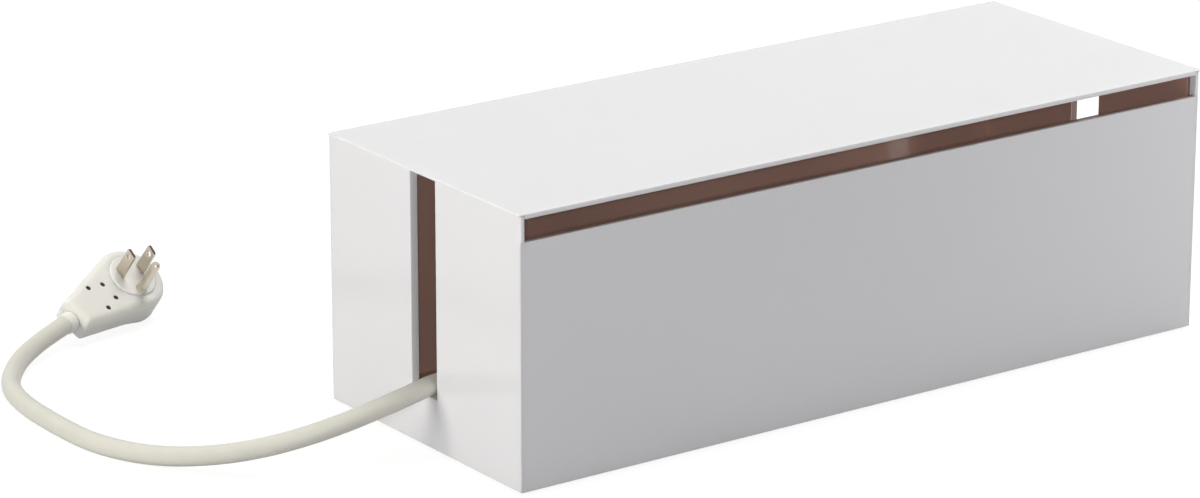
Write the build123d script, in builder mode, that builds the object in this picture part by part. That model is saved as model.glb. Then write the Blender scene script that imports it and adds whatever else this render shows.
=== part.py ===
from build123d import *
import os
from math import radians, sqrt, tan

# Cable management box: a box of two-layer sheet plastic, white outside and brown inside, with a lift-off
# lid, a long slot under the lid at the front and an upright slot in each end.  A power strip stands in it.
# The strip's mains cord leaves through the left end slot and ends in a flat plug whose round face turns.
#
# Millimetres.  X runs along the box, -Y is the front and +Z is up.  The origin is on the surface that the box
# stands on, under its middle.

# Box
box_length = 410.0
box_depth = 160.0
box_height = 135.0  # from the surface to the top of the lid
skin = 2.1  # white outer sheet of every wall
liner = 2.1  # brown inner sheet of every wall
lid_skin = 0.9  # white top sheet of the lid
lid_lip = 1.5  # drop of the lid's front lip, which closes the long slot above
lid_lip_gap = 0.3  # between the lip's ends and the end walls
lid_overhang = 1.0  # lid past each end wall
lid_clearance = 0.6  # between the lid's lower sheet and the walls
corner_radius = 0.8  # outside upright corners
edge_round = 0.4  # edges that a hand or a cord touches
front_slot_height = 11.1
end_slot_width = 21.0
end_slot_floor = 26.0  # above the surface
slot_return = 1.0  # edging that runs through an end slot, white at the left and brown at the right
foot_height = 1.0
foot_diameter = 12.0
foot_inset = 18.0  # from the outside of the walls to a foot's middle
foot_columns = 3
foot_rows = 2

# Prong pattern, shared by the plug and the outlets
blade_spacing = 12.7
ground_offset = 11.9  # from the line of the blades to the ground pin
blade_width = 6.35
blade_thickness = 1.5
ground_diameter = 4.76

# Power strip
outlet_count = 6
outlet_pitch = 33.0
outlet_diameter = 34.0  # an outlet face is a circle with two flats
outlet_flat = 28.0
outlet_proud = 0.6
outlet_depth = 8.0
outlet_flange = 1.2
outlet_blade_line = 4.3  # from the middle of an outlet to the line of its blade slots
strip_margin = 9.0  # from the last outlet's pitch to the strip's end
switch_zone = 44.0
strip_width = 50.0
strip_height = 36.0
strip_wall = 2.2
strip_corner = 6.0
strip_round = 3.5
strip_base_height = 10.0
strip_base_round = 1.2
strip_pad_height = 1.2
strip_pad_diameter = 10.0
strip_post_inset = 7.0  # from the strip's outside to a screw
strip_post_radius = 3.2
strip_screw_radius = 1.45
strip_screw_head_radius = 2.7
strip_screw_head_height = 2.0
strip_screw_sink = 3.2
strip_screw_length = 12.0
slot_clearance = 0.35  # round a blade in its slot
neutral_slot_extra = 1.6  # the neutral slot is the longer one
bar_thickness = 0.8
bar_width = 5.0
bar_rib = 1.6
clip_leaf = 0.6
clip_length = 6.0
clip_height = 8.0
clip_gap = 0.4  # below the outlet face
fit = 0.1  # round a piece that is set in an opening

# Rocker switch
rocker_radius = 9.6  # ends of the rocker, about its pivot
rocker_width = 13.0
rocker_end_height = 4.2
rocker_middle_height = 2.4
rocker_drop = 4.5
rocker_tilt = 9.0
rocker_gap = 0.3
rocker_pin_radius = 1.2
rocker_pin_length = 1.2
pin_clearance = 0.06
bezel_height = 1.6
bezel_rim = 2.4
bezel_wall = 1.6
bezel_round = 0.6
bezel_floor = 1.5
rocker_well = 7.5

# Mains cord and its strain relief on the strip
cord_diameter = 9.5
cord_exit_height = 21.6  # above the underside of the strip
relief_length = 30.0
relief_root_radius = 7.4
relief_tip_radius = 5.6
relief_neck_radius = 6.0
relief_flange_radius = 8.4
relief_flange = 2.0
relief_ring = 1.2  # depth and width of the rings that let it bend
relief_rings = 5

# Turning plug
plug_head_radius = 18.2
plug_tail = 45.6  # from the middle of the head to the flat end
plug_tail_half = 9.1
plug_tail_chamfer = 2.4
plug_front_depth = 6.8
plug_front_round = 2.0
plug_parting_round = 0.8
plug_back_inset = 0.2  # back shell inside the front shell's outline
plug_tail_depth = 14.4
plug_tail_round = 2.0
plug_back_depth = 17.3
plug_back_round = 3.0
plug_cord_depth = 7.9  # cord's middle below the face
plug_collar_radius = 5.5
plug_collar_tip_radius = 5.1
plug_collar_out = 5.5
plug_collar_in = 5.0
disc_radius = 12.7
disc_depth = 5.0
disc_proud = 0.8
disc_bevel = 0.6
disc_clearance = 0.08
plug_blade_line = 2.9  # from the middle of the disc to the line of the blades
blade_length = 16.0
blade_hole = 3.2
blade_hole_from_tip = 4.0
blade_tip_chamfer = 1.1
blade_root = 3.0
ground_length = 20.3
ground_shoulder_radius = 2.9  # coned shoulder that seats the pin in the disc
plug_screw_places = ((-28.0, 7.2), (-28.0, -7.2), (-19.1, 4.8), (-19.1, -4.8))
plug_screw_hole = 1.35
plug_screw_shank = 0.9
plug_screw_sink = 2.6
plug_screw_head_height = 1.2
plug_screw_length = 9.0

# How the plug lies on the surface
plug_x = -17.3  # middle of its face, from the left end of the box
plug_y = 239.4  # and from the middle of the box
plug_heading = 21.8  # of the line from the cord to the head
plug_rise = 7.3
plug_roll = 36.5  # the face leans to the front
plug_turn = -18.7  # of the prongs in the plug
plug_rest = 0.05

# Worked out from the sizes above
wall_bottom = foot_height
wall_top = box_height - lid_skin
front_top = wall_top - lid_lip - front_slot_height
inside = skin + liner
floor_top = wall_bottom + inside
strip_length = switch_zone + outlet_count * outlet_pitch + 2 * strip_margin
strip_left = -strip_length / 2
strip_bottom = floor_top + strip_pad_height
strip_split = strip_bottom + strip_base_height
strip_top = strip_bottom + strip_height
plug_back_radius = plug_head_radius - plug_back_inset
ground_shoulder_rise = ground_shoulder_radius - ground_diameter / 2

FRONT, RIGHT, BACK, LEFT = range(4)

os.makedirs("parts", exist_ok=True)


def turned(plane, angle):
    """The plane turned about its own normal."""
    x_dir = plane.x_dir.rotate(Axis((0, 0, 0), plane.z_dir), angle)
    return Plane(origin=plane.origin, x_dir=x_dir, z_dir=plane.z_dir)


def save(part, name):
    """Name a finished piece and write it."""
    part.label = name
    export_step(part, f"parts/{name}.step")


# --------------------------------------------------------------------------------------------------
# Walls: four white sheets that meet at 45 degrees in the upright corners, each with a brown one inside it.
# Beside the long slot the end walls are cut square, the white sheets level with the front


def plan_corner(side, inset):
    """Corner of the box's plan where a side starts, anticlockwise from the front left, less an inset."""
    x = box_length / 2 - inset
    y = box_depth / 2 - inset
    return ((-x, -y), (x, -y), (x, y), (-x, y))[side % 4]


def wall_plan(side, outer, inner):
    """Draw the plan of one standing sheet between two insets, its ends cut at 45 degrees."""
    Polygon(
        plan_corner(side, outer),
        plan_corner(side + 1, outer),
        plan_corner(side + 1, inner),
        plan_corner(side, inner),
        align=None,
    )


def end_face(facing):
    """Plane on the outside of an end wall, with its Y axis up and its origin at the surface."""
    return Plane(origin=(facing * box_length / 2, 0, 0), x_dir=(0, facing, 0), z_dir=(facing, 0, 0))


def end_slot(margin, mode=Mode.ADD):
    """Draw the open-topped slot of an end wall, grown by a margin at its sides and its floor."""
    height = wall_top - end_slot_floor + margin
    with Locations((0, wall_top - height / 2)):
        Rectangle(end_slot_width + 2 * margin, height, mode=mode)


def round_slot_mouth(sheet):
    """Round the mouth of an end slot on the sheet's outermost face."""
    mouth = sheet.faces().sort_by(lambda face: abs(face.center().X))[-1].edges()
    mouth = mouth.filter_by(
        lambda edge: abs(edge.center().Y) < end_slot_width / 2 + edge_round
        and end_slot_floor - edge_round < edge.center().Z < wall_top - edge_round
    )
    fillet(mouth, radius=edge_round)


for side, top, panel_name in ((FRONT, front_top, "front_panel"), (BACK, wall_top, "back_panel")):
    with BuildPart() as long_panel:
        with BuildSketch(Plane.XY.offset(wall_bottom)):
            wall_plan(side, 0, skin)
        extrude(amount=top - wall_bottom)
        with BuildSketch(Plane.XY.offset(wall_bottom)):
            RectangleRounded(box_length, box_depth, corner_radius)
        extrude(amount=top - wall_bottom, mode=Mode.INTERSECT)
        if side == FRONT:
            top_edges = long_panel.edges().filter_by(Axis.X).group_by(Axis.Z)[-1]
            fillet(top_edges.sort_by(Axis.Y)[0], radius=edge_round)
    save(long_panel.part, panel_name)

for side, facing, end_name in ((LEFT, -1, "left_end"), (RIGHT, 1, "right_end")):
    outside = end_face(facing)

    with BuildPart() as end_panel:
        with BuildSketch(Plane.XY.offset(wall_bottom)):
            wall_plan(side, 0, skin)
        extrude(amount=wall_top - wall_bottom)
        with BuildSketch(Plane.XY.offset(front_top)):
            with Locations((facing * (box_length - skin) / 2, -(box_depth - skin) / 2)):
                Rectangle(skin, skin)
        extrude(amount=wall_top - front_top)
        with BuildSketch(Plane.XY.offset(wall_bottom)):
            RectangleRounded(box_length, box_depth, corner_radius)
        extrude(amount=wall_top - wall_bottom, mode=Mode.INTERSECT)
        with BuildSketch(outside):
            end_slot(0 if side == LEFT else slot_return)
        extrude(amount=-skin, mode=Mode.SUBTRACT)
        if side == LEFT:
            round_slot_mouth(end_panel)
            with BuildSketch(outside.offset(-skin)):
                end_slot(slot_return)
                end_slot(0, mode=Mode.SUBTRACT)
            extrude(amount=-liner)
    save(end_panel.part, f"{end_name}_panel")

    with BuildPart() as end_liner:
        with BuildSketch(Plane.XY.offset(floor_top)):
            wall_plan(side, skin, inside)
        extrude(amount=wall_top - floor_top)
        with BuildSketch(Plane.XY.offset(front_top)):
            with Locations((0, -(box_depth - inside) / 2)):
                Rectangle(box_length, inside)
        extrude(amount=wall_top - front_top, mode=Mode.SUBTRACT)
        with BuildSketch(outside.offset(-skin)):
            end_slot(slot_return if side == LEFT else 0)
        extrude(amount=-liner, mode=Mode.SUBTRACT)
        if side == RIGHT:
            with BuildSketch(outside):
                end_slot(slot_return)
                end_slot(0, mode=Mode.SUBTRACT)
            extrude(amount=-skin)
            round_slot_mouth(end_liner)
    save(end_liner.part, f"{end_name}_liner")

for side, liner_top, liner_name in ((FRONT, front_top, "front_liner"), (BACK, wall_top, "back_liner")):
    with BuildPart() as long_liner:
        with BuildSketch(Plane.XY.offset(floor_top)):
            wall_plan(side, skin, inside)
        extrude(amount=liner_top - floor_top)
    save(long_liner.part, liner_name)

# --------------------------------------------------------------------------------------------------
# Floor: a white sheet with a brown one on it, both between the white walls, on six soft feet

with BuildPart() as base_panel:
    with BuildSketch(Plane.XY.offset(wall_bottom)):
        Rectangle(box_length - 2 * skin, box_depth - 2 * skin)
    extrude(amount=skin)
save(base_panel.part, "base_panel")

with BuildPart() as base_liner:
    with BuildSketch(Plane.XY.offset(wall_bottom + skin)):
        Rectangle(box_length - 2 * skin, box_depth - 2 * skin)
    extrude(amount=liner)
save(base_liner.part, "base_liner")

with BuildPart() as feet:
    column_step = (box_length - 2 * foot_inset) / (foot_columns - 1)
    row_step = (box_depth - 2 * foot_inset) / (foot_rows - 1)
    with BuildSketch():
        with GridLocations(column_step, row_step, foot_columns, foot_rows):
            Circle(foot_diameter / 2)
    extrude(amount=foot_height)
    fillet(feet.edges().group_by(Axis.Z)[0], radius=edge_round)
save(feet.part, "feet")

# --------------------------------------------------------------------------------------------------
# Lid: a white sheet that lies on the walls, with a lip that drops between the end walls at the front, and
# a brown sheet under it that drops between all four

with BuildPart() as lid_panel:
    with BuildSketch(Plane.XY.offset(wall_top)):
        RectangleRounded(box_length + 2 * lid_overhang, box_depth, corner_radius)
    extrude(amount=lid_skin)
    fillet(lid_panel.edges().group_by(Axis.Z)[-1], radius=edge_round)
    with BuildSketch(Plane.XY.offset(wall_top)):
        with Locations((0, -(box_depth - skin) / 2)):
            Rectangle(box_length - 2 * (skin + lid_lip_gap), skin)
    extrude(amount=-lid_lip)
save(lid_panel.part, "lid_panel")

with BuildPart() as lid_liner:
    lid_gap = inside + lid_clearance
    with BuildSketch(Plane.XY.offset(wall_top)):
        Rectangle(box_length - 2 * lid_gap, box_depth - 2 * lid_gap)
    extrude(amount=-liner)
    fillet(lid_liner.edges().group_by(Axis.Z)[0], radius=edge_round)
save(lid_liner.part, "lid_liner")

# --------------------------------------------------------------------------------------------------
# Power strip: two moulded shells with six outlet faces, a rocker switch and three brass bars

first_outlet = strip_left + strip_margin + switch_zone + outlet_pitch / 2
outlet_places = [(first_outlet + outlet_pitch * n, 0) for n in range(outlet_count)]
bar_length = outlet_pitch * outlet_count
bar_middle = first_outlet + outlet_pitch * (outlet_count - 1) / 2
outlet_bottom = strip_top - strip_wall - outlet_depth
bar_bottom = outlet_bottom - clip_gap - clip_height - bar_thickness
post_x = strip_length / 2 - strip_post_inset
post_y = strip_width / 2 - strip_post_inset
post_places = [(x, y) for x in (-post_x, post_x) for y in (-post_y, post_y)]
screw_seat = strip_bottom + strip_screw_sink
switch_x = strip_left + strip_margin + switch_zone / 2
well_length = 2 * (rocker_radius + rocker_gap)
well_width = rocker_width + 2 * rocker_gap
body_length = well_length + 2 * bezel_wall
body_width = well_width + 2 * bezel_wall
cord_z = strip_bottom + cord_exit_height


def outlet_outline(margin):
    """Outline of an outlet face grown by a margin: a circle with two flats."""
    with BuildSketch() as outline:
        Circle(outlet_diameter / 2 + margin)
        Rectangle(outlet_flat + 2 * margin, outlet_diameter + 2 * margin, mode=Mode.INTERSECT)
    return outline.sketch


outlet_face_outline = outlet_outline(0)
outlet_opening_outline = outlet_outline(fit)
outlet_flange_outline = outlet_outline(outlet_flange)

with BuildPart() as strip_base:
    with BuildSketch(Plane.XY.offset(strip_bottom)):
        RectangleRounded(strip_length, strip_width, strip_corner)
    extrude(amount=strip_base_height)
    fillet(strip_base.edges().group_by(Axis.Z)[0], radius=strip_base_round)
    offset(amount=-strip_wall, openings=strip_base.faces().sort_by(Axis.Z)[-1])
    with BuildSketch(Plane.XY.offset(strip_bottom + strip_wall / 2)):
        with Locations(*post_places):
            Circle(strip_post_radius + strip_wall / 2)
    extrude(amount=strip_base_height - strip_wall / 2)
    with BuildSketch(Plane.XY.offset(strip_bottom)):
        with Locations(*post_places):
            Circle(strip_screw_head_radius + fit)
    extrude(amount=strip_screw_sink, mode=Mode.SUBTRACT)
    with BuildSketch(Plane.XY.offset(strip_bottom)):
        with Locations(*post_places):
            Circle(strip_screw_radius + fit)
    extrude(amount=strip_base_height, mode=Mode.SUBTRACT)
    with BuildSketch(Plane.XY.offset(strip_bottom + strip_wall / 2)):
        with Locations((bar_middle, 0)):
            with GridLocations(outlet_pitch, 1, outlet_count + 1, 1):
                Rectangle(bar_rib, blade_spacing + 2 * bar_width)
    extrude(amount=bar_bottom - strip_bottom - strip_wall / 2)
save(strip_base.part, "strip_base")

with BuildPart() as strip_cover:
    with BuildSketch(Plane.XY.offset(strip_split)):
        RectangleRounded(strip_length, strip_width, strip_corner)
    extrude(amount=strip_top - strip_split)
    fillet(strip_cover.edges().group_by(Axis.Z)[-1], radius=strip_round)
    offset(amount=-strip_wall, openings=strip_cover.faces().sort_by(Axis.Z)[0])
    with BuildSketch(Plane.XY.offset(strip_split)):
        with Locations(*post_places):
            Circle(strip_post_radius)
            Circle(strip_screw_radius + pin_clearance, mode=Mode.SUBTRACT)
    extrude(amount=strip_height - strip_base_height - strip_wall / 2)
    with BuildSketch(Plane.XY.offset(strip_top)):
        with Locations(*outlet_places):
            add(outlet_opening_outline)
        with Locations((switch_x, 0)):
            Rectangle(body_length + 2 * fit, body_width + 2 * fit)
    extrude(amount=-2 * strip_wall, mode=Mode.SUBTRACT)
    with BuildSketch(Plane.YZ.offset(strip_left)):
        with Locations((0, cord_z)):
            Circle(relief_neck_radius + fit)
    extrude(amount=2 * strip_wall, mode=Mode.SUBTRACT)
save(strip_cover.part, "strip_cover")

for number, place in enumerate(outlet_places, start=1):
    with BuildPart() as outlet_face:
        with BuildSketch(Plane.XY.offset(strip_top - strip_wall)):
            with Locations(place):
                add(outlet_flange_outline)
        extrude(amount=-outlet_depth)
        with BuildSketch(Plane.XY.offset(strip_top - strip_wall)):
            with Locations(place):
                add(outlet_face_outline)
        extrude(amount=strip_wall + outlet_proud)
        fillet(outlet_face.edges().group_by(Axis.Z)[-1], radius=edge_round)
        with BuildSketch(Plane.XY.offset(strip_top + outlet_proud)):
            with Locations((place[0] - outlet_blade_line, place[1])):
                slot_width = blade_thickness + 2 * slot_clearance
                slot_length = blade_width + 2 * slot_clearance
                with Locations((0, -blade_spacing / 2)):
                    Rectangle(slot_length, slot_width)
                with Locations((0, blade_spacing / 2)):
                    Rectangle(slot_length + neutral_slot_extra, slot_width)
                with Locations((ground_offset, 0)):
                    Circle(ground_diameter / 2 + slot_clearance)
        extrude(amount=-(strip_wall + outlet_proud + outlet_depth), mode=Mode.SUBTRACT)
    save(outlet_face.part, f"outlet_face_{number}")

for bar_name, bar_y in (("line_bus_bar", -blade_spacing / 2), ("neutral_bus_bar", blade_spacing / 2)):
    with BuildPart() as bus_bar:
        with BuildSketch(Plane.XY.offset(bar_bottom)):
            with Locations((bar_middle, bar_y)):
                Rectangle(bar_length, bar_width)
        extrude(amount=bar_thickness)
        with BuildSketch(Plane.XY.offset(bar_bottom + bar_thickness)):
            with Locations((bar_middle - outlet_blade_line, bar_y)):
                with GridLocations(outlet_pitch, blade_thickness + clip_leaf, outlet_count, 2):
                    Rectangle(clip_length, clip_leaf)
        extrude(amount=clip_height)
    save(bus_bar.part, bar_name)

with BuildPart() as ground_bus_bar:
    with BuildSketch(Plane.XY.offset(bar_bottom)):
        with Locations((bar_middle, 0)):
            Rectangle(bar_length, bar_width)
    extrude(amount=bar_thickness)
    with BuildSketch(Plane.XY.offset(bar_bottom + bar_thickness)):
        with Locations((bar_middle - outlet_blade_line + ground_offset, 0)):
            with GridLocations(outlet_pitch, 1, outlet_count, 1):
                Circle(ground_diameter / 2 + clip_leaf)
                Circle(ground_diameter / 2, mode=Mode.SUBTRACT)
    extrude(amount=clip_height)
save(ground_bus_bar.part, "ground_bus_bar")

with BuildPart() as strip_screws:
    with BuildSketch(Plane.XY.offset(screw_seat)):
        with Locations(*post_places):
            Circle(strip_screw_head_radius)
    extrude(amount=-strip_screw_head_height)
    fillet(strip_screws.edges().group_by(Axis.Z)[0], radius=edge_round)
    with BuildSketch(Plane.XY.offset(screw_seat)):
        with Locations(*post_places):
            Circle(strip_screw_radius)
    extrude(amount=strip_screw_length)
save(strip_screws.part, "strip_screws")

with BuildPart() as strip_pads:
    pad_x = strip_length / 2 - strip_post_inset - strip_pad_diameter
    with BuildSketch(Plane.XY.offset(floor_top)):
        with GridLocations(2 * pad_x, 2 * post_y, 2, 2):
            Circle(strip_pad_diameter / 2)
    extrude(amount=strip_pad_height)
save(strip_pads.part, "strip_pads")

# --------------------------------------------------------------------------------------------------
# Rocker switch: a bezel let into the cover, and a rocker on two stub pins

with BuildPart() as switch_bezel:
    with BuildSketch(Plane.XY.offset(strip_top)):
        with Locations((switch_x, 0)):
            RectangleRounded(body_length + 2 * bezel_rim, body_width + 2 * bezel_rim, bezel_rim)
    extrude(amount=bezel_height)
    fillet(switch_bezel.edges().group_by(Axis.Z)[-1], radius=bezel_round)
    with BuildSketch(Plane.XY.offset(strip_top)):
        with Locations((switch_x, 0)):
            Rectangle(body_length, body_width)
    extrude(amount=bezel_height - rocker_well - bezel_floor)
    with BuildSketch(Plane.XY.offset(strip_top + bezel_height)):
        with Locations((switch_x, 0)):
            Rectangle(well_length, well_width)
    extrude(amount=-rocker_well, mode=Mode.SUBTRACT)
    with BuildSketch(Plane.XZ):
        with Locations((switch_x, strip_top)):
            Circle(rocker_pin_radius + pin_clearance)
    extrude(amount=well_width / 2 + rocker_pin_length, both=True, mode=Mode.SUBTRACT)
save(switch_bezel.part, "switch_bezel")

rocker_plane = Plane(origin=(switch_x, 0, strip_top), x_dir=(1, 0, 0), z_dir=(0, -1, 0))
rocker_plane = turned(rocker_plane, rocker_tilt)

with BuildPart() as switch_rocker:
    with BuildSketch(rocker_plane):
        Polygon(
            (-rocker_radius, rocker_end_height),
            (0, rocker_middle_height),
            (rocker_radius, rocker_end_height),
            (rocker_radius, 0),
            (rocker_radius / 2, -rocker_drop),
            (-rocker_radius / 2, -rocker_drop),
            (-rocker_radius, 0),
            align=None,
        )
        Circle(rocker_radius, mode=Mode.INTERSECT)
    extrude(amount=rocker_width / 2, both=True)
    with BuildSketch(rocker_plane):
        Circle(rocker_pin_radius)
    extrude(amount=rocker_width / 2 + rocker_pin_length, both=True)
save(switch_rocker.part, "switch_rocker")

# --------------------------------------------------------------------------------------------------
# Strain relief: a tapered sleeve with rings, held in the end of the cover between two flanges

with BuildPart() as cord_relief:
    with BuildSketch(Plane.XZ):
        with BuildLine():
            ring_pitch = relief_length / (relief_rings + 1)
            taper = (relief_tip_radius - relief_root_radius) / relief_length
            outline = [
                (strip_wall + relief_flange, 0),
                (strip_wall + relief_flange, relief_flange_radius),
                (strip_wall, relief_flange_radius),
                (strip_wall, relief_neck_radius),
                (0, relief_neck_radius),
                (0, relief_flange_radius),
                (-relief_flange, relief_flange_radius),
                (-relief_flange, relief_root_radius + taper * relief_flange),
            ]
            for ring in range(1, relief_rings + 1):
                near = ring * ring_pitch
                far = near + relief_ring
                outline += [
                    (-near, relief_root_radius + taper * near),
                    (-near, relief_root_radius + taper * near - relief_ring),
                    (-far, relief_root_radius + taper * far - relief_ring),
                    (-far, relief_root_radius + taper * far),
                ]
            outline += [(-relief_length, relief_tip_radius), (-relief_length, 0)]
            Polyline(*[(strip_left + x, cord_z + r) for x, r in outline], close=True)
        make_face()
    revolve(axis=Axis((strip_left, 0, cord_z), (1, 0, 0)))
save(cord_relief.part, "cord_relief")

# --------------------------------------------------------------------------------------------------
# Plug: a flat moulded body in two shells that lies on the rounded rim of its back

forward = Vector(1, 0, 0).rotate(Axis.Y, -plug_rise).rotate(Axis.Z, plug_heading)
outward = Vector(0, 0, 1).rotate(Axis.X, plug_roll).rotate(Axis.Y, -plug_rise).rotate(Axis.Z, plug_heading)
lean = sqrt(1 - outward.Z**2)
plug_z = (
    (plug_back_depth - plug_back_round) * outward.Z
    + (plug_back_radius - plug_back_round) * lean
    + plug_back_round
    + plug_rest
)
plug_face = Plane(origin=(-box_length / 2 + plug_x, plug_y, plug_z), x_dir=forward, z_dir=outward)
prong_face = turned(plug_face, plug_turn)
face_axis = Axis(plug_face.origin, plug_face.z_dir)
cord_end = plug_face.from_local_coords((-plug_tail - plug_collar_out, 0, -plug_cord_depth))
tail_end = Plane(origin=cord_end, x_dir=plug_face.y_dir, z_dir=forward)


def plug_outline(inset):
    """Draw the plug's plan, moved in by an inset: a round head whose tangents run to a flat end."""
    length = plug_tail - inset
    Circle(plug_head_radius - inset)
    with Locations((-length / 2, 0)):
        Rectangle(length, 2 * (plug_tail_half - inset))
    make_hull()


with BuildPart() as plug_front_shell:
    with BuildSketch(plug_face):
        plug_outline(0)
    extrude(amount=-plug_front_depth)
    tail_edge = plug_front_shell.faces().sort_by(face_axis)[-1].edges().sort_by(Axis(cord_end, forward))[0]
    chamfer(tail_edge, length=plug_tail_chamfer)
    fillet(plug_front_shell.faces().sort_by(face_axis)[-1].edges(), radius=plug_front_round)
    fillet(plug_front_shell.faces().sort_by(face_axis)[0].edges(), radius=plug_parting_round)
    with BuildSketch(plug_face):
        Circle(disc_radius + disc_clearance)
    extrude(amount=-disc_depth, mode=Mode.SUBTRACT)
    with BuildSketch(plug_face):
        with Locations(*plug_screw_places):
            Circle(plug_screw_hole)
    extrude(amount=-plug_screw_sink - plug_screw_head_height, mode=Mode.SUBTRACT)
    with BuildSketch(plug_face):
        with Locations(*plug_screw_places):
            Circle(plug_screw_shank + pin_clearance)
    extrude(amount=-plug_front_depth, mode=Mode.SUBTRACT)
    with BuildSketch(tail_end.offset(plug_collar_out)):
        Circle(plug_collar_radius + pin_clearance)
    extrude(amount=plug_collar_in, mode=Mode.SUBTRACT)
save(plug_front_shell.part, "plug_front_shell")

with BuildPart() as plug_back_shell:
    with BuildSketch(plug_face.offset(-plug_front_depth)):
        plug_outline(plug_back_inset)
    extrude(amount=plug_front_depth - plug_tail_depth)
    fillet(plug_back_shell.faces().sort_by(face_axis)[0].edges(), radius=plug_tail_round)
    with BuildSketch(plug_face.offset(-plug_front_depth)):
        Circle(plug_back_radius)
    extrude(amount=plug_front_depth - plug_back_depth)
    fillet(plug_back_shell.faces().sort_by(face_axis)[0].edges(), radius=plug_back_round)
    with BuildSketch(plug_face.offset(-plug_front_depth)):
        with Locations(*plug_screw_places):
            Circle(plug_screw_shank + pin_clearance)
    extrude(amount=plug_front_depth - plug_screw_sink - plug_screw_length, mode=Mode.SUBTRACT)
    with BuildSketch(tail_end.offset(plug_collar_out)):
        Circle(plug_collar_radius + pin_clearance)
    extrude(amount=plug_collar_in, mode=Mode.SUBTRACT)
save(plug_back_shell.part, "plug_back_shell")

with BuildPart() as plug_collar:
    with BuildSketch(tail_end):
        Circle(plug_collar_tip_radius)
    with BuildSketch(tail_end.offset(plug_collar_out)):
        Circle(plug_collar_radius)
    loft()
    with BuildSketch(tail_end.offset(plug_collar_out)):
        Circle(plug_collar_radius)
    extrude(amount=plug_collar_in)
save(plug_collar.part, "plug_collar")

with BuildPart() as plug_screws:
    with BuildSketch(plug_face.offset(-plug_screw_sink)):
        with Locations(*plug_screw_places):
            Circle(plug_screw_hole - pin_clearance)
    extrude(amount=-plug_screw_head_height)
    with BuildSketch(plug_face.offset(-plug_screw_sink)):
        with Locations(*plug_screw_places):
            Circle(plug_screw_shank)
    extrude(amount=-plug_screw_length)
save(plug_screws.part, "plug_screws")

# The round face turns in the front shell and carries the three prongs.

blade_places = ((-blade_spacing / 2, plug_blade_line), (blade_spacing / 2, plug_blade_line))
ground_place = (0, plug_blade_line - ground_offset)

with BuildPart() as plug_disc:
    with BuildSketch(prong_face.offset(disc_proud)):
        Circle(disc_radius)
    extrude(amount=-disc_proud - disc_depth + disc_clearance)
    chamfer(plug_disc.faces().sort_by(face_axis)[-1].edges(), length=disc_bevel)
    with BuildSketch(prong_face.offset(disc_proud)):
        with Locations(*blade_places):
            Rectangle(blade_thickness, blade_width)
        with Locations(ground_place):
            Circle(ground_shoulder_radius + pin_clearance)
    extrude(amount=-blade_root, mode=Mode.SUBTRACT)
save(plug_disc.part, "plug_disc")

for blade_name, place in zip(("line_blade", "neutral_blade"), blade_places):
    blade_foot = prong_face.from_local_coords((*place, disc_proud))
    blade_plane = Plane(origin=blade_foot, x_dir=prong_face.y_dir, z_dir=prong_face.x_dir)
    with BuildPart() as blade:
        with BuildSketch(blade_plane):
            with Locations((0, (blade_length - blade_root) / 2)):
                Rectangle(blade_width, blade_length + blade_root)
            with Locations((0, blade_length - blade_hole_from_tip)):
                Circle(blade_hole / 2, mode=Mode.SUBTRACT)
        extrude(amount=blade_thickness / 2, both=True)
        tip = blade.faces().sort_by(Axis(prong_face.origin, prong_face.z_dir))[-1]
        chamfer(tip.edges().filter_by(Axis(prong_face.origin, prong_face.x_dir)), length=blade_tip_chamfer)
    save(blade.part, blade_name)

with BuildPart() as ground_pin:
    with BuildSketch(prong_face.offset(disc_proud - blade_root)):
        with Locations(ground_place):
            Circle(ground_shoulder_radius)
    extrude(amount=blade_root + ground_shoulder_rise)
    chamfer(ground_pin.faces().sort_by(face_axis)[-1].edges(), length=ground_shoulder_rise)
    with BuildSketch(prong_face.offset(disc_proud)):
        with Locations(ground_place):
            Circle(ground_diameter / 2)
    extrude(amount=ground_length)
    fillet(ground_pin.faces().sort_by(face_axis)[-1].edges(), radius=ground_diameter / 2 - edge_round)
save(ground_pin.part, "ground_pin")

# --------------------------------------------------------------------------------------------------
# Mains cord: out of the strain relief, over the floor of the left end slot, down to the surface and round in
# one loose turn to the plug

cord_start = Vector(strip_left - relief_length, 0, cord_z)
cord_first_run = 17.0
cord_last_run = 30.0
cord_points = (  # from the left end of the box, its middle and the surface
    (8, -3, 32.8),
    (-22, -9, 29.6),
    (-57, 0, 19.3),
    (-87, 19, 9.8),
    (-114, 46, 4.8),
    (-131, 78, 4.8),
    (-133, 116, 4.8),
    (-131, 155, 4.8),
    (-121, 184, 4.8),
)
cord_route = [
    cord_start,
    cord_start - Vector(cord_first_run, 0, 0),
    *[Vector(x - box_length / 2, y, z) for x, y, z in cord_points],
    cord_end - forward * cord_last_run,
    cord_end,
]


def bend_radius(before, corner, after):
    """Radius of the largest arc that the two runs at a corner leave room for."""
    turn = radians((corner - before).get_angle(after - corner))
    shorter = min((corner - before).length, (after - corner).length)
    return 0.45 * shorter / tan(turn / 2)


bend_radii = [bend_radius(*cord_route[n : n + 3]) for n in range(len(cord_route) - 2)]

with BuildPart() as mains_cord:
    with BuildLine() as cord_line:
        FilletPolyline(*cord_route, radius=bend_radii)
    with BuildSketch(Plane(origin=cord_line.line @ 0, z_dir=cord_line.line % 0)):
        Circle(cord_diameter / 2)
    sweep(path=cord_line.line)
save(mains_cord.part, "mains_cord")

print("cord route", [tuple(round(v, 1) for v in point) for point in cord_route])
print("cord bend radii", [round(radius) for radius in bend_radii])
print("cord length", round(sum(edge.length for edge in cord_line.edges()), 1))
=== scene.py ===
import math

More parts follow.
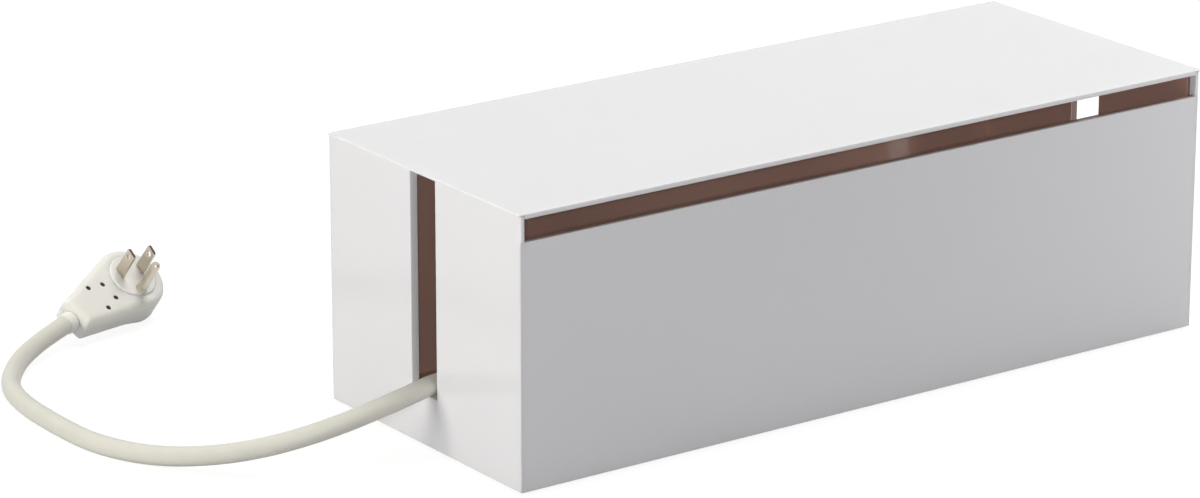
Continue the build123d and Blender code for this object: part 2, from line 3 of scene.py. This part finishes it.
import bpy
import numpy as np
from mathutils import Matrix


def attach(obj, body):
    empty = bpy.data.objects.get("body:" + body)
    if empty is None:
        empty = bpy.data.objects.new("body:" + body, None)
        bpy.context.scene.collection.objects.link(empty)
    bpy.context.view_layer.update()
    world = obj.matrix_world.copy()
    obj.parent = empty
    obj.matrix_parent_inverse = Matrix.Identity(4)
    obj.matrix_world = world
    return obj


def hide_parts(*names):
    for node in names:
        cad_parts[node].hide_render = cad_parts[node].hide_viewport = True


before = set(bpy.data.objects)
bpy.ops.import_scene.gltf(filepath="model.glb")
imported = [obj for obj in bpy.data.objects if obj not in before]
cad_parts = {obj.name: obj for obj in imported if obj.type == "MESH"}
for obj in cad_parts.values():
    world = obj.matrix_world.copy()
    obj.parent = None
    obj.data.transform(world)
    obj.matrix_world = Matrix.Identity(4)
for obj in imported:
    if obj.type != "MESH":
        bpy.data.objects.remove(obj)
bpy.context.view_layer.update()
scene = bpy.context.scene

# Camera: a long lens about 2.5 m away, at the front left and a little above the lid, which sees the lid, the
# front, the left end and the whole cord outside the box.

camera = bpy.data.objects.new("camera", bpy.data.cameras.new("camera"))
scene.collection.objects.link(camera)
camera.location = (-1.4344, -1.8562, 0.8209)
camera.rotation_euler = [math.radians(angle) for angle in (71.998, -0.0197, -35.634)]
camera.data.sensor_width = 36
camera.data.lens = 150.8
camera.data.clip_start = 0.1
camera.data.clip_end = 60
scene.camera = camera

# Studio: a pale surface and surround that the camera and every gloss see as plain white.  A small lamp beside
# the camera and a low wide one light the slots' walls, two large lamps at the left and above light the sheets,
# and a weak one at the right lifts the front's far end.


class Signal:
    """What one node gives.  Arithmetic on signals adds Math nodes, so a pattern is written as a sum."""

    def __init__(self, graph, socket):
        self.graph = graph
        self.socket = socket

    def math(self, operation, *values):
        return self.graph.add("ShaderNodeMath", {"operation": operation}, *values)[0]

    def __add__(self, other):
        return self.math("ADD", self, other)

    def __mul__(self, other):
        return self.math("MULTIPLY", self, other)

    def __gt__(self, other):
        return self.math("GREATER_THAN", self, other)

    __radd__ = __add__
    __rmul__ = __mul__


class Graph:
    """A tree of shader nodes, with one way to add a node and one to feed a socket."""

    def __init__(self, tree):
        self.tree = tree

    def feed(self, node, socket, value):
        """Set a socket of a node to a value, or link it to a signal."""
        if isinstance(value, Signal):
            self.tree.links.new(value.socket, node.inputs[socket])
        else:
            node.inputs[socket].default_value = value

    def add(self, kind, settings, *values, **named):
        """Add a node: its settings first, then its sockets by place or by name.  Gives its signals."""
        node = self.tree.nodes.new(kind)
        for setting, value in settings.items():
            setattr(node, setting, value)
        for place, value in enumerate(values):
            self.feed(node, place, value)
        for socket, value in named.items():
            self.feed(node, socket.replace("_", " "), value)
        return [Signal(self, socket) for socket in node.outputs if socket.enabled]

    def blend(self, factor, first, second):
        """The colour between two colours, at a factor from 0 to 1."""
        node = self.tree.nodes.new("ShaderNodeMix")
        node.data_type = "RGBA"
        self.feed(node, 0, factor)
        for place, colour in ((6, first), (7, second)):
            self.feed(node, place, colour if isinstance(colour, Signal) else (*colour, 1.0))
        return Signal(self, node.outputs[2])

    def seen_by(self, *rays):
        """1 on rays of any of some kinds and 0 on the others: the greatest of the kinds' own signals."""
        path = self.add("ShaderNodeLightPath", {})
        seen = path[rays[0]]
        for ray in rays[1:]:
            seen = seen.math("MAXIMUM", seen, path[ray])
        return seen


class Finish(Graph):
    """The procedural finish of a piece: a Principled shader and the patterns that feed it."""

    def __init__(self, name, colour, **sockets):
        self.material = bpy.data.materials.new(name)
        self.material.use_nodes = True
        super().__init__(self.material.node_tree)
        self.shader = self.tree.nodes["Principled BSDF"]
        self.set(Base_Color=(*colour, 1.0), **sockets)

    def set(self, **sockets):
        """Feed sockets of the shader."""
        for socket, value in sockets.items():
            self.feed(self.shader, socket.replace("_", " "), value)

    def place(self, stretch=(1, 1, 1)):
        """Object coordinates in metres, stretched along each axis."""
        here = self.add("ShaderNodeTexCoord", {})[3]
        return self.add("ShaderNodeMapping", {}, Vector=here, Scale=stretch)[0]

    def noise(self, scale, detail=2.0, where=None):
        """Smooth noise from 0 to 1, with about `scale` lumps to the metre."""
        where = where or self.place()
        return self.add("ShaderNodeTexNoise", {}, Vector=where, Scale=scale, Detail=detail)[0]

    def clouds(self, scale, first, second):
        """A colour that drifts between two near colours in soft clouds."""
        return self.blend(self.noise(scale), first, second)

    def polish(self, least, spread, scale, detail=2.0, where=None):
        """Roughness that drifts from a least value by up to a spread: least + spread * noise."""
        self.set(Roughness=least + self.noise(scale, detail, where) * spread)

    def grain(self, scale, height, strength):
        """Raise the surface in fine grains of a height in metres."""
        relief = self.noise(scale, 3.0)
        raised = self.add("ShaderNodeBump", {}, Strength=strength, Distance=height, Height=relief)
        self.set(Normal=raised[0])

    def on(self, *names):
        """Give this finish to some of the object's pieces."""
        for name in names:
            mesh = bpy.data.objects[name].data
            mesh.materials.clear()
            mesh.materials.append(self.material)


def shade(*channels):
    """Linear colour of a shade whose channels run from 0 to 255."""
    share = np.array(channels) / 255
    curved = ((share + 0.055) / 1.055) ** 2.4
    return tuple(np.where(share <= 0.04045, share / 12.92, curved).tolist())


camera_ray, glossy_ray, transmission_ray = 0, 3, 6
power_world = 0.03
world = bpy.data.worlds.new("studio")
scene.world = world
world.use_nodes = True
surround = Graph(world.node_tree)
background = world.node_tree.nodes["Background"]
seen = surround.seen_by(camera_ray, glossy_ray, transmission_ray)
surround.feed(background, "Strength", seen * (1 - power_world) + power_world)
surround.feed(background, "Color", (1, 1, 1, 1))

floor_reach = 9
floor_level = -0.0003
floor_unseen = (0.45, 0.45, 0.45)
floor_seen = (0.2, 0.2, 0.2)
floor_glow = (0.88, 0.88, 0.88)
floor_corners = [(x * floor_reach, y * floor_reach, floor_level) for x, y in ((-1, -1), (1, -1), (1, 1), (-1, 1))]
floor_mesh = bpy.data.meshes.new("studio_floor")
floor_mesh.from_pydata(floor_corners, [], [(0, 1, 2, 3)])
floor = bpy.data.objects.new("studio_floor", floor_mesh)
scene.collection.objects.link(floor)
floor_paint = Finish("studio_floor", floor_unseen, Roughness=1.0, Specular_IOR_Level=0.0)
seen = floor_paint.seen_by(camera_ray, glossy_ray)
floor_paint.set(Base_Color=floor_paint.blend(seen, floor_unseen, floor_seen))
floor_paint.set(Emission_Color=floor_paint.blend(seen, (0, 0, 0), floor_glow), Emission_Strength=1.0)
floor_paint.on("studio_floor")


def soft_lamp(name, power, where, aim, width, height, tint=(1.0, 1.0, 1.0), mirrored=False):
    """A rectangular soft lamp of a power in watts, at a place and turned to aim at a point.

    Only a lamp that is mirrored shows in gloss.  The larger ones aren't, or they would glare in the lid.
    """
    lamp = bpy.data.lights.new(name, "AREA")
    lamp.shape = "RECTANGLE"
    lamp.size = width
    lamp.size_y = height
    lamp.energy = power
    lamp.color = tint
    holder = bpy.data.objects.new(name, lamp)
    scene.collection.objects.link(holder)
    holder.location = where
    x, y, z = np.subtract(aim, where)
    holder.rotation_euler = (math.atan2(math.hypot(x, y), -z), 0, math.atan2(-x, y))
    holder.visible_glossy = mirrored


power_key = 12.9
power_left = 31.5
power_above = 39.5
power_right = 0.9
power_side = 7.2
tint_left = (1.0, 1.0, 0.94)
tint_above = (1.0, 1.0, 0.98)
soft_lamp("lamp_key", power_key, (-1.452, -1.880, 0.830), (-0.07, 0.047, 0.06), 0.04, 0.03, mirrored=True)
soft_lamp("lamp_left", power_left, (-2.3, 0.3, 0.9), (-0.2, 0.05, 0.05), 1.2, 1.2, tint_left)
soft_lamp("lamp_above", power_above, (0.6, 0.3, 2.2), (0.05, 0.0, 0.1), 1.2, 1.2, tint_above)
soft_lamp("lamp_right", power_right, (0.56, -0.36, 0.22), (0.18, -0.08, 0.08), 0.2, 0.2)
soft_lamp("lamp_side", power_side, (-1.70, -1.35, 0.623), (-1.70, 0.0, 0.09), 0.8, 0.03)

# White sheets: gloss ABS moulded against a polished tool, so the surface is a mirror with a trace of orange
# peel.  Walls and floor are 2.1 mm thick and bonded to the brown sheets, and the walls meet in mitres.  The lid's
# sheet is 0.9 mm, with a lip along its front edge that closes the long slot above.

white_abs = Finish("white_abs", shade(233, 231, 235))
white_abs.set(Base_Color=white_abs.clouds(9, shade(232, 230, 234), shade(234, 233, 236)))
white_abs.polish(0.13, 0.07, 35, 3.0)
white_abs.set(Subsurface_Weight=0.7, Subsurface_Radius=(1.0, 1.0, 1.0), Subsurface_Scale=0.002)
white_abs.grain(260, 0.00002, 0.25)
white_abs.on("front_panel", "back_panel", "left_end_panel", "right_end_panel", "base_panel", "lid_panel")

# Brown sheets: the inner layer of every wall, of the floor and of the lid, in the same gloss ABS coloured a
# milk-chocolate brown.  The lid's drops between the walls with a little play and keeps the lid in its place.

brown = shade(200, 160, 145)
brown_low = shade(197, 157, 142)
brown_high = shade(203, 163, 148)
brown_abs = Finish("brown_abs", brown)
brown_abs.set(Base_Color=brown_abs.clouds(14, brown_low, brown_high))
brown_abs.polish(0.07, 0.05, 40, 3.0)
brown_abs.grain(240, 0.00002, 0.25)
brown_abs.on("front_liner", "back_liner", "left_end_liner", "base_liner", "lid_liner")

# Right end's brown sheet: the same sheet, turned out through the white one round its slot.  Past `edge_from`
# along the box, in metres, its cut edge shows, and there it is painted a darker brown than its faces as painted
# shade on the edge in the slot.

edge_from = 0.2012
# Painted shade: the darker brown of the sheet's cut edge in the slot.
edge_painted_shade = shade(142, 113, 102)
painted_edge_abs = Finish("painted_edge_abs", brown)
along_box = painted_edge_abs.add("ShaderNodeSeparateXYZ", {}, painted_edge_abs.place())[0]
faces_brown = painted_edge_abs.clouds(14, brown_low, brown_high)
painted_edge_abs.set(Base_Color=painted_edge_abs.blend(along_box > edge_from, faces_brown, edge_painted_shade))
painted_edge_abs.polish(0.07, 0.05, 40, 3.0)
painted_edge_abs.grain(240, 0.00002, 0.25)
painted_edge_abs.on("right_end_liner")

# Feet: six round pads of soft silicone, moulded with a fine matt grain and stuck on under the floor's white
# sheet, which they hold 1 mm clear of the table.

silicone = Finish("silicone", shade(205, 205, 202))
silicone.polish(0.62, 0.16, 300)
silicone.grain(700, 0.00006, 0.3)
silicone.on("feet")

# Strip housing: a base and a cover of satin ABS, each moulded in one piece in a spark-eroded tool, which leaves
# its fine grain.  The cover's posts stand on the base, and screws from below hold the two together.

strip_abs = Finish("strip_plastic", shade(232, 232, 228))
strip_abs.polish(0.40, 0.12, 60, 3.0)
strip_abs.grain(1600, 0.00004, 0.4)
strip_abs.on("strip_base", "strip_cover")

# Outlet faces: six discs with two flats each, moulded from a smoother white ABS with the slots for a plug's
# prongs.  Each sits in its own hole in the cover, held by a flange under it.

outlet_count = 6
outlet_abs = Finish("outlet_plastic", shade(238, 238, 236))
outlet_abs.polish(0.26, 0.1, 80, 3.0)
outlet_abs.grain(1200, 0.00003, 0.3)
outlet_abs.on(*[f"outlet_face_{n}" for n in range(1, outlet_count + 1)])

# Strip pads: four discs punched from black rubber sheet and glued under the base, so that the strip doesn't
# slide on the box's floor.

pad_rubber = Finish("pad_rubber", shade(38, 38, 38))
pad_rubber.polish(0.72, 0.16, 400)
pad_rubber.grain(900, 0.00008, 0.4)
pad_rubber.on("strip_pads")

# Screws: plated steel with turned heads.  The strip's are sunk in its base and run up into the cover's posts,
# and the plug's four sit deep in the holes of its front half.

screw_steel = Finish("screw_steel", shade(170, 168, 162), Metallic=1.0)
screw_steel.polish(0.28, 0.2, 600)
screw_steel.on("strip_screws", "plug_screws")

# Bus bars: three bars of rolled brass strip inside the housing, with spring clips that stand up below the
# outlets' slots.  Rolling leaves fine streaks along them.

bar_brass = Finish("bar_brass", shade(206, 170, 98), Metallic=1.0)
bar_brass.polish(0.24, 0.2, 300, where=bar_brass.place((1, 14, 14)))
bar_brass.on("line_bus_bar", "neutral_bus_bar", "ground_bus_bar")

# Switch bezel: the frame and well of the rocker switch, moulded in black ABS with a matt grain and let into the
# cover, on which its rim lies.

bezel_abs = Finish("bezel_plastic", shade(36, 36, 37))
bezel_abs.polish(0.44, 0.14, 500, 3.0)
bezel_abs.grain(1800, 0.00004, 0.5)
bezel_abs.on("switch_bezel")

# Rocker: the switch's moving part, of a shinier black ABS than its bezel.  It is moulded in one piece with the
# two stub pins on which it tilts in the bezel's walls.

rocker_abs = Finish("rocker_plastic", shade(28, 28, 29))
rocker_abs.polish(0.2, 0.12, 200, 3.0)
rocker_abs.on("switch_rocker")

# Strain relief: a tapered sleeve of soft warm grey PVC round the cord, with rings that let it bend.  Its flanged
# root is held in the strip's end wall.

relief_pvc = Finish("relief_pvc", shade(206, 201, 191))
relief_pvc.polish(0.44, 0.14, 500, 3.0)
relief_pvc.on("cord_relief")

# Plug body: off-white PVC moulded in two halves that meet at a fine parting line, satin from a spark-eroded
# tool.  The front half has four screw holes and a round recess for the turning face, which is moulded of the
# same PVC, and the back half swells out behind the head.

# The face's middle in metres, and the directions along the plug, out of its face and across it.
plug_middle = np.array((-0.2223, 0.2394, 0.023505))
plug_along = np.array((0.92096, 0.36836, 0.12706))
plug_above = np.array((0.12606, -0.59022, 0.79734))
plug_across = np.cross(plug_above, plug_along)

# Sizes in millimetres.  Depths are measured down from the face.
head_radius = 18.2
tail_length = 45.6
tail_half = 9.1
tail_corner = 2.2
front_depth = 6.8
front_round = 3.9
parting_round = 0.2
recess_radius = 12.74
recess_depth = 5.0
recess_round = 0.18
around_plug = 240
plan_steps = 1441
sharp_angle = math.radians(32)


def in_plug(places, turn=0.0):
    """Places along, across and above the plug's face, in millimetres, as places in the frame.

    The two directions in the face may be turned about its middle: along' = cos(turn) along + sin(turn) across.
    """
    along = math.cos(turn) * plug_along + math.sin(turn) * plug_across
    across = math.cos(turn) * plug_across - math.sin(turn) * plug_along
    return plug_middle + 0.001 * (places @ np.array([along, across, plug_above]))


def plug_plan(inset):
    """The plug's plan moved in by an inset, as evenly spaced points.

    It is the hull of a head circle and two small tail circles: in each direction n it reaches the largest of
    c.n + r, and the point there is c + r n.  Moving it in makes each radius less by the inset.
    """
    corner = max(tail_corner, inset)
    tail, side = corner - tail_length, tail_half - corner
    centres = np.array([(0, 0), (tail, side), (tail, -side)])
    radii = np.array([head_radius - inset, corner - inset, corner - inset])
    angle = np.linspace(0, 2 * np.pi, plan_steps)
    normal = np.stack([np.cos(angle), np.sin(angle)])
    reach = np.argmax(centres @ normal + radii[:, None], axis=0)
    line = centres[reach] + radii[reach, None] * normal.T
    gone = np.concatenate([[0], np.cumsum(np.hypot(*np.diff(line, axis=0).T))])
    even = np.linspace(0, gone[-1], around_plug, endpoint=False)
    return np.stack([np.interp(even, gone, line[:, 0]), np.interp(even, gone, line[:, 1])], axis=-1)


def plug_circle(radius):
    """A circle round the face's middle, with a point on the ray to each point of the plan."""
    plan = plug_plan(0)
    return radius * plan / np.hypot(*plan.T)[:, None]


def raised(plan, height):
    """A plan's points at a height above the face, one for all or one for each."""
    return np.concatenate([plan, np.broadcast_to(height, len(plan))[:, None]], axis=1)


def skinned(name, rings, closed_tube=False):
    """An object whose surface runs over rings of points.

    Each ring closes on itself.  The surface ends in the middles of the first and last rings, or in a closed
    tube it runs on from the last ring to the first.
    """
    count, around, _ = rings.shape
    corner = np.arange(count * around).reshape(count, around)
    lower = corner if closed_tube else corner[:-1]
    upper = np.roll(corner, -1, axis=0) if closed_tube else corner[1:]
    bands = np.stack([lower, np.roll(lower, -1, axis=1), np.roll(upper, -1, axis=1), upper], axis=-1)
    faces = [bands.reshape(-1, 4)]
    points = rings.reshape(-1, 3)
    if not closed_tube:
        middle = np.full(around, len(points))
        faces.append(np.stack([middle, np.roll(corner[0], -1), corner[0]], axis=-1))
        faces.append(np.stack([middle + 1, corner[-1], np.roll(corner[-1], -1)], axis=-1))
        points = np.concatenate([points, rings[[0, -1]].mean(axis=1)])
    mesh = bpy.data.meshes.new(name)
    mesh.from_pydata(points.tolist(), [], [face for group in faces for face in group.tolist()])
    mesh.polygons.foreach_set("use_smooth", np.ones(len(mesh.polygons), dtype=bool))
    mesh.set_sharp_from_angle(angle=sharp_angle)
    piece = bpy.data.objects.new(name, mesh)
    scene.collection.objects.link(piece)
    return piece


def turned_rings(profile, middle=(0.0, 0.0), around=48):
    """Rings of a turned shape whose axis stands on the face: each profile point is a radius and a height."""
    angle = np.linspace(0, 2 * np.pi, around, endpoint=False)
    radius, height = np.array(profile).T
    across = radius[:, None] * np.stack([np.cos(angle), np.sin(angle)])[:, None]
    level = np.broadcast_to(height[:, None], (len(height), around))
    return np.stack([middle[0] + across[0], middle[1] + across[1], level], axis=-1)


# The front half runs from its flat underside over the parting line and the rounded edge, across the face in
# even shares and down into the recess.
quarter = np.linspace(0, np.pi / 2, 9)
inner_ring = 1.0
face_shares = (0.2, 0.4, 0.6, 0.8, 1.0)
front_rings = [raised(plug_plan(inner_ring), -front_depth)]
for turn in quarter[::2]:
    edge = plug_plan(parting_round * (1 - math.sin(turn)))
    front_rings.append(raised(edge, parting_round * (1 - math.cos(turn)) - front_depth))
for turn in quarter:
    edge = plug_plan(front_round * (1 - math.cos(turn)))
    front_rings.append(raised(edge, front_round * (math.sin(turn) - 1)))
face_edge = plug_plan(front_round)
face_middle = plug_circle(recess_radius + recess_round)
for share in face_shares:
    front_rings.append(raised(face_edge + share * (face_middle - face_edge), 0.0))
for turn in quarter[2::2]:
    edge = plug_circle(recess_radius + recess_round * (1 - math.sin(turn)))
    front_rings.append(raised(edge, recess_round * (math.cos(turn) - 1)))
for radius in (recess_radius, inner_ring):
    front_rings.append(raised(plug_circle(radius), -recess_depth))
plug_front = skinned("plug_front", in_plug(np.array(front_rings)))

back_inset = 0.08
tail_depth = 14.4
tail_round = 2.0
swell_depth = 17.3
swell_round = 3.0
swell_fillet = 4.5


def back_depth(plan, inset):
    """How far behind the face the back lies.

    The tail's edge is a quarter round of radius r: depth - r + sqrt(r^2 - (r - inset)^2).  The head swells out
    in the same way, measured in from its own circle.  Round it a smooth step, s^2 (3 - 2 s), leads from the
    tail's depth to the swell's over the fillet's width.
    """
    tail = tail_depth - tail_round + math.sqrt(tail_round**2 - (tail_round - min(inset, tail_round)) ** 2)
    inside = head_radius - back_inset - np.hypot(*plan.T)
    inner = swell_round - np.clip(inside, 0, swell_round)
    swell = swell_depth - swell_round + np.sqrt(swell_round**2 - inner**2)
    rise = np.clip(inside / swell_fillet + 1, 0, 1)
    return np.maximum(tail, tail + (swell - tail) * rise**2 * (3 - 2 * rise))


# The back half runs out from the middle of its back over the rounded edge, along its side in even shares and
# over a small bevel to the parting line.
core_inset = 6.0
core_rings = 80
core_from = 0.02
back_insets = (5.4, 4.8, 4.2, 3.6, 3.0, 2.5, 2.0, 1.6, 1.2, 0.85, 0.55, 0.32, 0.15, 0.04, 0.0)
side_shares = (0.66, 0.33, 0.0)
side_end = 7.1
bevel = 0.3
rim_inner = 2.0
back_core = plug_plan(core_inset)
back_rings = []
for share in np.linspace(core_from, 1, core_rings):
    back_rings.append(raised(back_core * share, -back_depth(back_core * share, core_inset)))
for inset in back_insets:
    edge = plug_plan(back_inset + inset)
    back_rings.append(raised(edge, -back_depth(edge, inset)))
side = plug_plan(back_inset)
for share in side_shares:
    back_rings.append(raised(side, -back_depth(side, 0.0) * share - side_end * (1 - share)))
for inset in (back_inset + bevel, rim_inner):
    back_rings.append(raised(plug_plan(inset), -front_depth))
plug_back = skinned("plug_back", in_plug(np.array(back_rings)))

plug_pvc = Finish("plug_plastic", shade(231, 229, 223))
plug_pvc.set(Base_Color=plug_pvc.clouds(60, shade(229, 227, 220), shade(234, 232, 226)))
plug_pvc.polish(0.34, 0.12, 260, 3.0)
plug_pvc.set(Subsurface_Weight=0.7, Subsurface_Radius=(1.0, 0.95, 0.85), Subsurface_Scale=0.004)
plug_pvc.grain(1500, 0.00003, 0.3)
# Painted shade: a dark brown for the walls and floors of the screw holes, where shade falls.
hole_painted_shade = Finish("plug_hole_painted_shade", shade(110, 88, 77))
hole_painted_shade.polish(0.6, 0.2, 900)

# Each screw hole is drilled by a turned shape with an opened mouth.  The mouth keeps the moulding's own finish,
# and the wall and the floor below it are painted a dark brown as painted shade, for the shade down in the hole.
screw_hole_radius = 1.3
screw_hole_depth = 3.8
screw_places = ((-28.0, 7.2), (-28.0, -7.2), (-19.1, 4.8), (-19.1, -4.8))
mouth = ((0.0, -0.35), (0.06, -0.17), (0.64, 0.41))
hole_profile = [(screw_hole_radius, -screw_hole_depth)]
hole_profile += [(screw_hole_radius + past, height) for past, height in mouth]
hole_around = 32
plug_front.data.materials.append(plug_pvc.material)
for place in screw_places:
    drill = skinned("drill", in_plug(turned_rings(hole_profile, place, hole_around)))
    drill.data.materials.append(plug_pvc.material)
    drill.data.materials.append(hole_painted_shade.material)
    in_hole = np.ones(len(drill.data.polygons), dtype=np.int32)
    in_hole[hole_around : len(mouth) * hole_around] = 0
    drill.data.polygons.foreach_set("material_index", in_hole)
    cut = plug_front.modifiers.new("screw_hole", "BOOLEAN")
    cut.object = drill
    cut.solver = "EXACT"
    cut.material_mode = "TRANSFER"
    drilled = plug_front.evaluated_get(bpy.context.evaluated_depsgraph_get())
    drilled_mesh = bpy.data.meshes.new_from_object(drilled)
    plug_front.modifiers.remove(cut)
    plug_front.data = drilled_mesh
    bpy.data.objects.remove(drill)
plug_front.data.set_sharp_from_angle(angle=sharp_angle)
plug_pvc.on("plug_back", "plug_disc")
for piece, node in ((plug_front, "plug_front_shell"), (plug_back, "plug_back_shell")):
    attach(piece, "box")
    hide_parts(node)

# Cord collar: the stub of the plug's moulding that the cord enters, of the same off-white PVC.  It is a turned
# shape round the cord, drawn in where it meets the tail.

cord_depth = 7.9
collar_profile = (
    (4.80, -5.50),
    (5.02, -5.40),
    (5.14, -4.90),
    (5.34, -3.40),
    (5.52, -2.00),
    (5.60, -1.20),
    (5.56, -0.70),
    (5.38, -0.32),
    (5.05, -0.10),
    (4.70, -0.02),
)


def along_cord(rings):
    """Turn rings that stand on the face to lie round the cord's line, their heights measured from the tail."""
    return np.stack([rings[..., 2] - tail_length, rings[..., 0], rings[..., 1] - cord_depth], axis=-1)


collar = skinned("cord_collar", in_plug(along_cord(turned_rings(collar_profile))))
plug_pvc.on("cord_collar")
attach(collar, "box")
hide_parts("plug_collar")

# Prongs: two blades blanked from nickel-plated brass strip, with tips ground to a lead-in, and a drawn ground
# pin with a domed end and a coned shoulder.  All three stand fast in the turning face.  The blades' tips, from
# halfway along the lead-in, are painted a dark brownish grey: a painted dark reflection.

prong_turn = math.radians(-18.7)
disc_proud = 0.8
blade_spacing = 12.7
blade_line = 2.9
blade_length = 16.0
blade_root = 3.0
blade_half_width = 3.175
blade_half_thickness = 0.75
blade_hole_radius = 1.6
blade_hole_height = 12.0
blade_tip_corner = 1.1
blade_edge_round = 0.2
lead_in = 1.5
lead_in_thinning = 0.5
around_blade_hole = 72


def blade_rings(foot):
    """Rings round a blade's hole that run over its edge, its one side, the hole's wall and its other side.

    On a ray of direction d from the hole's middle c, the edge lies at the least of (s - n.c) / n.d over the
    blade's straight sides n.p = s.  Half the thickness is less by up to a half in the last `lead_in` of the
    length.
    """
    low, high, wide, cut = -blade_root, blade_length, blade_half_width, blade_tip_corner
    slant = wide + high - cut
    sides = np.array([(1, 0, wide), (-1, 0, wide), (0, 1, high), (0, -1, -low), (1, 1, slant), (-1, 1, slant)])
    corners = [(wide, low), (-wide, low), (wide, high - cut), (-wide, high - cut)]
    corners += [(wide - cut, high), (cut - wide, high)]
    bends = [math.atan2(height - blade_hole_height, width) for width, height in corners]
    even = np.linspace(-np.pi, np.pi, around_blade_hole, endpoint=False)
    angle = np.unique(np.concatenate([even, bends]))
    ray = np.stack([np.cos(angle), np.sin(angle)])
    facing = sides[:, :2] @ ray
    room = sides[:, 2] - sides[:, 1] * blade_hole_height
    tiny, far = 1e-9, 1e9
    edge = np.where(facing > tiny, room[:, None] / np.maximum(facing, tiny), far).min(axis=0)
    # The first and last of eight rings stand on the edge and the hole's wall, and the six between lie on the
    # flat, which ends in a fine bevel at either.
    share = np.array((1.0, 1.0, 0.75, 0.5, 0.3, 0.15, 0.0, 0.0))
    bevels = np.array((0.0, 1.0, 1.0, 1.0, 1.0, 1.0, 1.0, 0.0)) * blade_edge_round
    reach = blade_hole_radius + share[:, None] * (edge - blade_hole_radius)
    reach[1:7] += np.linspace(-1, 1, 6)[:, None] * blade_edge_round
    level = np.broadcast_to(blade_half_thickness - blade_edge_round + bevels[:, None], reach.shape)
    reach = np.concatenate([reach, reach[::-1]])
    level = np.concatenate([level, -level[::-1]])
    height = blade_hole_height + reach * ray[1]
    level = level * (1 - lead_in_thinning * np.clip((height - blade_length + lead_in) / lead_in, 0, 1))
    return np.stack([foot[0] + level, foot[1] + reach * ray[0], disc_proud + height], axis=-1)


nickel = Finish("prong_nickel", shade(196, 187, 172), Metallic=1.0)
brushed = nickel.noise(900, 3.0, nickel.place((1, 1, 0.35)))
painted_tip_reflection = nickel.add("ShaderNodeAttribute", {"attribute_name": "above_painted_tip"})[2]
plated = nickel.blend(brushed, shade(186, 176, 158), shade(212, 204, 190))
# Painted reflection: past where the tip starts, the nickel is painted a dark brownish grey for the dark it
# mirrors.
nickel.set(Base_Color=nickel.blend(painted_tip_reflection > 0.0, plated, shade(104, 93, 82)))
nickel.set(Roughness=0.26 + brushed * 0.18)


def prong(name, rings, node, dark_from):
    """A prong's piece, which notes at each point how many millimetres it lies above where its tip's painted dark
    reflection starts.
    """
    piece = skinned(name, in_plug(rings, prong_turn), closed_tube=node != "ground_pin")
    tip = piece.data.attributes.new("above_painted_tip", "FLOAT", "POINT")
    above = np.full(len(piece.data.vertices), rings[..., 2].max() - dark_from)
    above[: rings[..., 2].size] = rings[..., 2].ravel() - dark_from
    tip.data.foreach_set("value", above)
    nickel.on(name)
    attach(piece, "turning_face")
    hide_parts(node)
    return piece


# The blades' painted dark reflection starts halfway along the lead-in, and the pin has none.
blade_dark_from = disc_proud + blade_length - lead_in / 2
prongs = [
    prong("blade_line", blade_rings((-blade_spacing / 2, blade_line)), "line_blade", blade_dark_from),
    prong("blade_neutral", blade_rings((blade_spacing / 2, blade_line)), "neutral_blade", blade_dark_from),
]

ground_offset = 11.9
ground_radius = 2.38
ground_length = 20.3
shoulder_radius = 2.9
shoulder_sink = 0.02
shoulder_cone = ((0.22, 0.12), (0.06, 0.45), (0.0, 1.0))
around_pin = 64
never_dark = 1e9
pin_top = disc_proud + ground_length
dome = np.linspace(0, np.pi / 2, 12, endpoint=False)
pin_profile = [(shoulder_radius, disc_proud - blade_root), (shoulder_radius, disc_proud - shoulder_sink)]
pin_profile += [(ground_radius + past, disc_proud + height) for past, height in shoulder_cone]
for turn in dome:
    pin_profile.append((ground_radius * math.cos(turn), pin_top - ground_radius * (1 - math.sin(turn))))
pin_rings = turned_rings(pin_profile, (0.0, blade_line - ground_offset), around_pin)
prongs.append(prong("pin_ground", pin_rings, "ground_pin", never_dark))

# Mains cord: a round three-core lead in a warm grey PVC sheath, extruded smooth.  It leaves the strip's strain
# relief, crosses the floor of the left end slot, drops to the surface and turns back to the plug.

cord_route = (
    (-0.1600, 0.0000, 0.0280),
    (-0.1770, 0.0000, 0.0280),
    (-0.1970, -0.0030, 0.0328),
    (-0.2270, -0.0090, 0.0296),
    (-0.2620, 0.0000, 0.0193),
    (-0.2920, 0.0190, 0.0098),
    (-0.3190, 0.0460, 0.0048),
    (-0.3360, 0.0780, 0.0048),
    (-0.3380, 0.1160, 0.0048),
    (-0.3360, 0.1550, 0.0048),
    (-0.3260, 0.1840, 0.0048),
    (-0.2980, 0.2142, 0.0069),
    (-0.2704, 0.2252, 0.0107),
)
cord_diameter = 0.0095
cord_line = bpy.data.curves.new("mains_cord_sheath", "CURVE")
cord_line.dimensions = "3D"
cord_line.bevel_depth = cord_diameter / 2
cord_line.bevel_resolution = 8
cord_line.resolution_u = 16
cord_line.use_fill_caps = True
spline = cord_line.splines.new("NURBS")
spline.points.add(len(cord_route) - 1)
spline.points.foreach_set("co", [value for point in cord_route for value in (*point, 1.0)])
spline.order_u = 3
spline.use_endpoint_u = True
cord_sheath = bpy.data.objects.new("mains_cord_sheath", cord_line)
scene.collection.objects.link(cord_sheath)

cord_pvc = Finish("cord_pvc", shade(213, 210, 200))
cord_pvc.set(Base_Color=cord_pvc.clouds(140, shade(209, 206, 195), shade(217, 215, 206)))
cord_pvc.polish(0.36, 0.14, 420)
cord_pvc.grain(900, 0.00012, 0.35)
cord_pvc.on("mains_cord_sheath")

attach(cord_sheath, "box")
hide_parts("mains_cord")

scene.view_settings.view_transform = "Standard"
bpy.context.view_layer.update()
